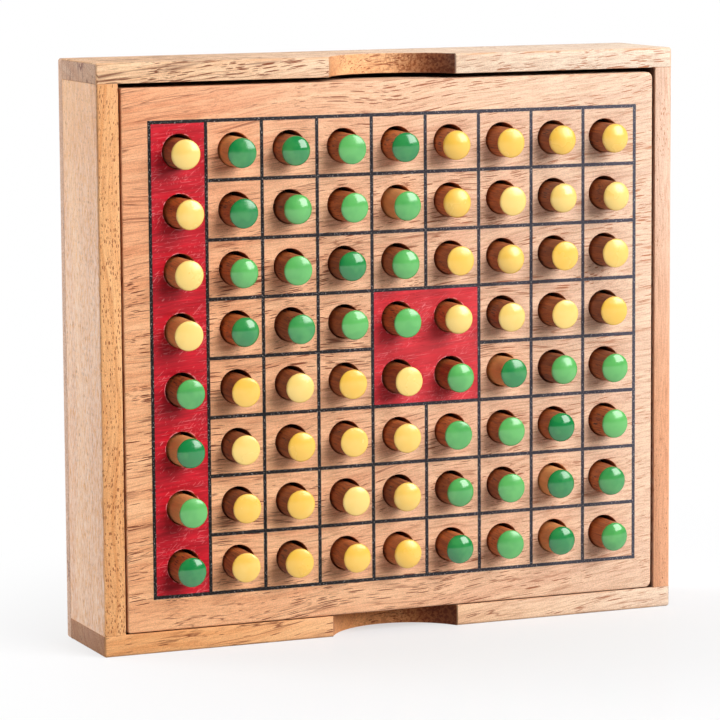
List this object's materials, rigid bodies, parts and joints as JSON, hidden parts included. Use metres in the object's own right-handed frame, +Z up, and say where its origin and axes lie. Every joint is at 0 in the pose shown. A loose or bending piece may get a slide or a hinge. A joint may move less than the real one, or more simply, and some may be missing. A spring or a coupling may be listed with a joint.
{
  "type": "peg board game",
  "caption": "Shallow wooden case that holds a drilled playing board, with domed colour-tipped pegs that pull out of it and thumb notches in the rim for lifting the board.",
  "frame": {"origin": "middle of the face that the case stands on, half way between the rim and the back panel's outer face", "axes": "+X along the case to the right as one faces the board, +Y from the board to the back panel, +Z up"},
  "size_m": [0.1916, 0.0437, 0.1791],
  "materials": {
    "case_wood": "oiled, sanded smooth",
    "panel_wood": "oiled",
    "board_wood": "oiled, with a printed grid and red fields",
    "peg_yellow": "dipped in gloss paint at the ends, yellow end out",
    "peg_green": "dipped in gloss paint at the ends, green end out"
  },
  "bodies": {
    "case": {"top_wall": "case_wood", "bottom_wall": "case_wood", "left_wall": "case_wood", "right_wall": "case_wood", "back_panel": "panel_wood", "left_rail": "case_wood", "right_rail": "case_wood"},
    "board": {"game_board": "board_wood"},
    "reserve_peg_1": {"reserve_peg_1": "peg_green"},
    "reserve_peg_2": {"reserve_peg_2": "peg_green"},
    "reserve_peg_3": {"reserve_peg_3": "peg_green"},
    "reserve_peg_4": {"reserve_peg_4": "peg_green"},
    "reserve_peg_5": {"reserve_peg_5": "peg_yellow"},
    "reserve_peg_6": {"reserve_peg_6": "peg_yellow"},
    "reserve_peg_7": {"reserve_peg_7": "peg_yellow"},
    "reserve_peg_8": {"reserve_peg_8": "peg_yellow"},
    "peg_pair_a1_a2": {"peg_pair_a1_a2": "peg_yellow"},
    "peg_pair_a3_a4": {"peg_pair_a3_a4": "peg_yellow"},
    "peg_pair_a5_a6": {"peg_pair_a5_a6": "peg_green"},
    "peg_pair_a7_a8": {"peg_pair_a7_a8": "peg_green"},
    "peg_pair_b1_b2": {"peg_pair_b1_b2": "peg_yellow"},
    "peg_pair_b3_b4": {"peg_pair_b3_b4": "peg_yellow"},
    "peg_pair_b5_b6": {"peg_pair_b5_b6": "peg_green"},
    "peg_pair_b7_b8": {"peg_pair_b7_b8": "peg_green"},
    "peg_pair_c1_c2": {"peg_pair_c1_c2": "peg_yellow"},
    "peg_c3": {"peg_c3": "peg_yellow"},
    "peg_c4": {"peg_c4": "peg_yellow"},
    "peg_c5": {"peg_c5": "peg_green"},
    "peg_c6": {"peg_c6": "peg_green"},
    "peg_pair_c7_c8": {"peg_pair_c7_c8": "peg_green"},
    "peg_pair_d1_d2": {"peg_pair_d1_d2": "peg_yellow"},
    "peg_d3": {"peg_d3": "peg_yellow"},
    "peg_d4": {"peg_d4": "peg_yellow"},
    "peg_d5": {"peg_d5": "peg_green"},
    "peg_d6": {"peg_d6": "peg_green"},
    "peg_pair_d7_d8": {"peg_pair_d7_d8": "peg_green"},
    "peg_pair_e1_e2": {"peg_pair_e1_e2": "peg_green"},
    "peg_e3": {"peg_e3": "peg_green"},
    "peg_e4": {"peg_e4": "peg_green"},
    "peg_e5": {"peg_e5": "peg_yellow"},
    "peg_e6": {"peg_e6": "peg_yellow"},
    "peg_pair_e7_e8": {"peg_pair_e7_e8": "peg_yellow"},
    "peg_pair_f1_f2": {"peg_pair_f1_f2": "peg_green"},
    "peg_f3": {"peg_f3": "peg_green"},
    "peg_f4": {"peg_f4": "peg_green"},
    "peg_f5": {"peg_f5": "peg_yellow"},
    "peg_f6": {"peg_f6": "peg_yellow"},
    "peg_pair_f7_f8": {"peg_pair_f7_f8": "peg_yellow"},
    "peg_pair_g1_g2": {"peg_pair_g1_g2": "peg_green"},
    "peg_pair_g3_g4": {"peg_pair_g3_g4": "peg_green"},
    "peg_pair_g5_g6": {"peg_pair_g5_g6": "peg_yellow"},
    "peg_pair_g7_g8": {"peg_pair_g7_g8": "peg_yellow"},
    "peg_pair_h1_h2": {"peg_pair_h1_h2": "peg_green"},
    "peg_pair_h3_h4": {"peg_pair_h3_h4": "peg_green"},
    "peg_pair_h5_h6": {"peg_pair_h5_h6": "peg_yellow"},
    "peg_pair_h7_h8": {"peg_pair_h7_h8": "peg_yellow"}
  },
  "joints": [
    {"name": "board_lift", "type": "slide", "parent": "case", "child": "board", "axis": [0, -1, 0], "range_m": [0, 0.04]},
    {"name": "reserve_peg_1_pull", "type": "slide", "parent": "board", "child": "reserve_peg_1", "axis": [0, -1, 0], "range_m": [0, 0.026]},
    {"name": "reserve_peg_2_pull", "type": "slide", "parent": "board", "child": "reserve_peg_2", "axis": [0, -1, 0], "range_m": [0, 0.026]},
    {"name": "reserve_peg_3_pull", "type": "slide", "parent": "board", "child": "reserve_peg_3", "axis": [0, -1, 0], "range_m": [0, 0.026]},
    {"name": "reserve_peg_4_pull", "type": "slide", "parent": "board", "child": "reserve_peg_4", "axis": [0, -1, 0], "range_m": [0, 0.026]},
    {"name": "reserve_peg_5_pull", "type": "slide", "parent": "board", "child": "reserve_peg_5", "axis": [0, -1, 0], "range_m": [0, 0.026]},
    {"name": "reserve_peg_6_pull", "type": "slide", "parent": "board", "child": "reserve_peg_6", "axis": [0, -1, 0], "range_m": [0, 0.026]},
    {"name": "reserve_peg_7_pull", "type": "slide", "parent": "board", "child": "reserve_peg_7", "axis": [0, -1, 0], "range_m": [0, 0.026]},
    {"name": "reserve_peg_8_pull", "type": "slide", "parent": "board", "child": "reserve_peg_8", "axis": [0, -1, 0], "range_m": [0, 0.026]},
    {"name": "peg_pair_a1_a2_pull", "type": "slide", "parent": "board", "child": "peg_pair_a1_a2", "axis": [0, -1, 0], "range_m": [0, 0.026]},
    {"name": "peg_pair_a3_a4_pull", "type": "slide", "parent": "board", "child": "peg_pair_a3_a4", "axis": [0, -1, 0], "range_m": [0, 0.026]},
    {"name": "peg_pair_a5_a6_pull", "type": "slide", "parent": "board", "child": "peg_pair_a5_a6", "axis": [0, -1, 0], "range_m": [0, 0.026]},
    {"name": "peg_pair_a7_a8_pull", "type": "slide", "parent": "board", "child": "peg_pair_a7_a8", "axis": [0, -1, 0], "range_m": [0, 0.026]},
    {"name": "peg_pair_b1_b2_pull", "type": "slide", "parent": "board", "child": "peg_pair_b1_b2", "axis": [0, -1, 0], "range_m": [0, 0.026]},
    {"name": "peg_pair_b3_b4_pull", "type": "slide", "parent": "board", "child": "peg_pair_b3_b4", "axis": [0, -1, 0], "range_m": [0, 0.026]},
    {"name": "peg_pair_b5_b6_pull", "type": "slide", "parent": "board", "child": "peg_pair_b5_b6", "axis": [0, -1, 0], "range_m": [0, 0.026]},
    {"name": "peg_pair_b7_b8_pull", "type": "slide", "parent": "board", "child": "peg_pair_b7_b8", "axis": [0, -1, 0], "range_m": [0, 0.026]},
    {"name": "peg_pair_c1_c2_pull", "type": "slide", "parent": "board", "child": "peg_pair_c1_c2", "axis": [0, -1, 0], "range_m": [0, 0.026]},
    {"name": "peg_c3_pull", "type": "slide", "parent": "board", "child": "peg_c3", "axis": [0, -1, 0], "range_m": [0, 0.026]},
    {"name": "peg_c4_pull", "type": "slide", "parent": "board", "child": "peg_c4", "axis": [0, -1, 0], "range_m": [0, 0.026]},
    {"name": "peg_c5_pull", "type": "slide", "parent": "board", "child": "peg_c5", "axis": [0, -1, 0], "range_m": [0, 0.026]},
    {"name": "peg_c6_pull", "type": "slide", "parent": "board", "child": "peg_c6", "axis": [0, -1, 0], "range_m": [0, 0.026]},
    {"name": "peg_pair_c7_c8_pull", "type": "slide", "parent": "board", "child": "peg_pair_c7_c8", "axis": [0, -1, 0], "range_m": [0, 0.026]},
    {"name": "peg_pair_d1_d2_pull", "type": "slide", "parent": "board", "child": "peg_pair_d1_d2", "axis": [0, -1, 0], "range_m": [0, 0.026]},
    {"name": "peg_d3_pull", "type": "slide", "parent": "board", "child": "peg_d3", "axis": [0, -1, 0], "range_m": [0, 0.026]},
    {"name": "peg_d4_pull", "type": "slide", "parent": "board", "child": "peg_d4", "axis": [0, -1, 0], "range_m": [0, 0.026]},
    {"name": "peg_d5_pull", "type": "slide", "parent": "board", "child": "peg_d5", "axis": [0, -1, 0], "range_m": [0, 0.026]},
    {"name": "peg_d6_pull", "type": "slide", "parent": "board", "child": "peg_d6", "axis": [0, -1, 0], "range_m": [0, 0.026]},
    {"name": "peg_pair_d7_d8_pull", "type": "slide", "parent": "board", "child": "peg_pair_d7_d8", "axis": [0, -1, 0], "range_m": [0, 0.026]},
    {"name": "peg_pair_e1_e2_pull", "type": "slide", "parent": "board", "child": "peg_pair_e1_e2", "axis": [0, -1, 0], "range_m": [0, 0.026]},
    {"name": "peg_e3_pull", "type": "slide", "parent": "board", "child": "peg_e3", "axis": [0, -1, 0], "range_m": [0, 0.026]},
    {"name": "peg_e4_pull", "type": "slide", "parent": "board", "child": "peg_e4", "axis": [0, -1, 0], "range_m": [0, 0.026]},
    {"name": "peg_e5_pull", "type": "slide", "parent": "board", "child": "peg_e5", "axis": [0, -1, 0], "range_m": [0, 0.026]},
    {"name": "peg_e6_pull", "type": "slide", "parent": "board", "child": "peg_e6", "axis": [0, -1, 0], "range_m": [0, 0.026]},
    {"name": "peg_pair_e7_e8_pull", "type": "slide", "parent": "board", "child": "peg_pair_e7_e8", "axis": [0, -1, 0], "range_m": [0, 0.026]},
    {"name": "peg_pair_f1_f2_pull", "type": "slide", "parent": "board", "child": "peg_pair_f1_f2", "axis": [0, -1, 0], "range_m": [0, 0.026]},
    {"name": "peg_f3_pull", "type": "slide", "parent": "board", "child": "peg_f3", "axis": [0, -1, 0], "range_m": [0, 0.026]},
    {"name": "peg_f4_pull", "type": "slide", "parent": "board", "child": "peg_f4", "axis": [0, -1, 0], "range_m": [0, 0.026]},
    {"name": "peg_f5_pull", "type": "slide", "parent": "board", "child": "peg_f5", "axis": [0, -1, 0], "range_m": [0, 0.026]},
    {"name": "peg_f6_pull", "type": "slide", "parent": "board", "child": "peg_f6", "axis": [0, -1, 0], "range_m": [0, 0.026]},
    {"name": "peg_pair_f7_f8_pull", "type": "slide", "parent": "board", "child": "peg_pair_f7_f8", "axis": [0, -1, 0], "range_m": [0, 0.026]},
    {"name": "peg_pair_g1_g2_pull", "type": "slide", "parent": "board", "child": "peg_pair_g1_g2", "axis": [0, -1, 0], "range_m": [0, 0.026]},
    {"name": "peg_pair_g3_g4_pull", "type": "slide", "parent": "board", "child": "peg_pair_g3_g4", "axis": [0, -1, 0], "range_m": [0, 0.026]},
    {"name": "peg_pair_g5_g6_pull", "type": "slide", "parent": "board", "child": "peg_pair_g5_g6", "axis": [0, -1, 0], "range_m": [0, 0.026]},
    {"name": "peg_pair_g7_g8_pull", "type": "slide", "parent": "board", "child": "peg_pair_g7_g8", "axis": [0, -1, 0], "range_m": [0, 0.026]},
    {"name": "peg_pair_h1_h2_pull", "type": "slide", "parent": "board", "child": "peg_pair_h1_h2", "axis": [0, -1, 0], "range_m": [0, 0.026]},
    {"name": "peg_pair_h3_h4_pull", "type": "slide", "parent": "board", "child": "peg_pair_h3_h4", "axis": [0, -1, 0], "range_m": [0, 0.026]},
    {"name": "peg_pair_h5_h6_pull", "type": "slide", "parent": "board", "child": "peg_pair_h5_h6", "axis": [0, -1, 0], "range_m": [0, 0.026]},
    {"name": "peg_pair_h7_h8_pull", "type": "slide", "parent": "board", "child": "peg_pair_h7_h8", "axis": [0, -1, 0], "range_m": [0, 0.026]}
  ]
}
